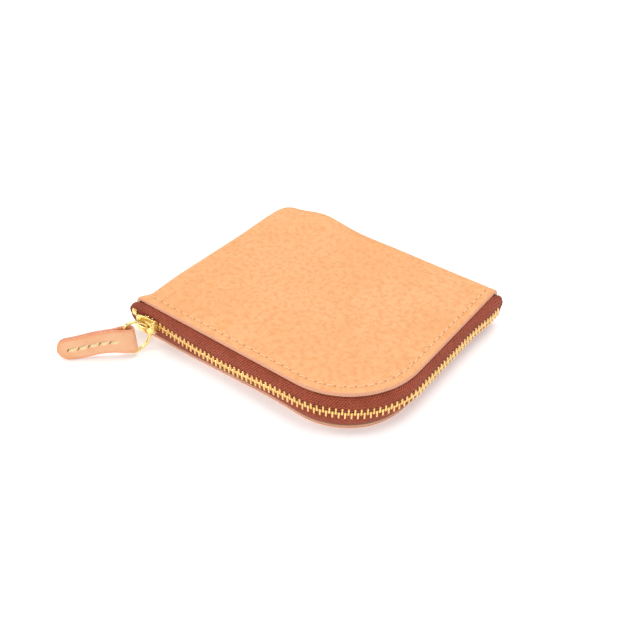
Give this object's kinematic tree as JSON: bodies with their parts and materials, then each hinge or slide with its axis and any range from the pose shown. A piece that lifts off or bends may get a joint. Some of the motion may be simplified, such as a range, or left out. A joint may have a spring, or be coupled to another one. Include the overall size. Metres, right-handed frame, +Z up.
{
  "type": "zippered pouch",
  "caption": "Flat leather pouch with rounded corner, closed by a metal zip along two sides, with a wire ring and folded leather pull.",
  "frame": {"origin": "middle of the pouch's body on its resting face, with the zip's parts and the pull left out of the middle", "axes": "+Z up through the pouch's thickness, +X along the front zip side away from the closed slider, +Y from the front zip side to the sewn back side"},
  "size_m": [0.117, 0.1158, 0.0167],
  "materials": {
    "natural_leather": "natural vegetable-tanned leather, fine grain, soft satin",
    "tab_leather": "natural leather with burnished edges",
    "zip_tape": "brown woven zip tape, matt",
    "zip_brass": "polished brass",
    "slider_brass": "bright gold-coloured brass",
    "fine_thread": "tan waxed thread",
    "thick_thread": "cream waxed thread"
  },
  "bodies": {
    "pouch": {"upper_panel": "natural_leather", "lower_panel": "natural_leather", "zip_tape_upper": "zip_tape", "zip_tape_lower": "zip_tape", "zip_teeth_upper": "zip_brass", "zip_teeth_lower": "zip_brass", "edge_thread_upper": "fine_thread", "edge_thread_lower": "fine_thread", "seam_thread": "fine_thread", "top_stop_upper": "zip_brass", "top_stop_lower": "zip_brass", "bottom_stop": "zip_brass"},
    "slider": {"slider": "slider_brass"},
    "ring": {"pull_ring": "slider_brass"},
    "tab": {"pull_tab": "tab_leather", "pull_tab_thread": "thick_thread"}
  },
  "joints": [
    {"name": "slider_travel", "type": "slide", "parent": "pouch", "child": "slider", "axis": [1, 0, 0], "range_m": [0, 0.06], "deforming": ["zip_teeth_upper", "zip_teeth_lower"]},
    {"name": "ring_swing", "type": "hinge", "parent": "slider", "child": "ring", "pos_m": [-0.0412, -0.04665, 0.0071], "axis": [0, 0, 1], "range_deg": [-34, 82]},
    {"name": "tab_swing", "type": "hinge", "parent": "ring", "child": "tab", "pos_m": [-0.04392, -0.05502, 0.0071], "axis": [0, 0, 1], "range_deg": [-15, 50]}
  ]
}
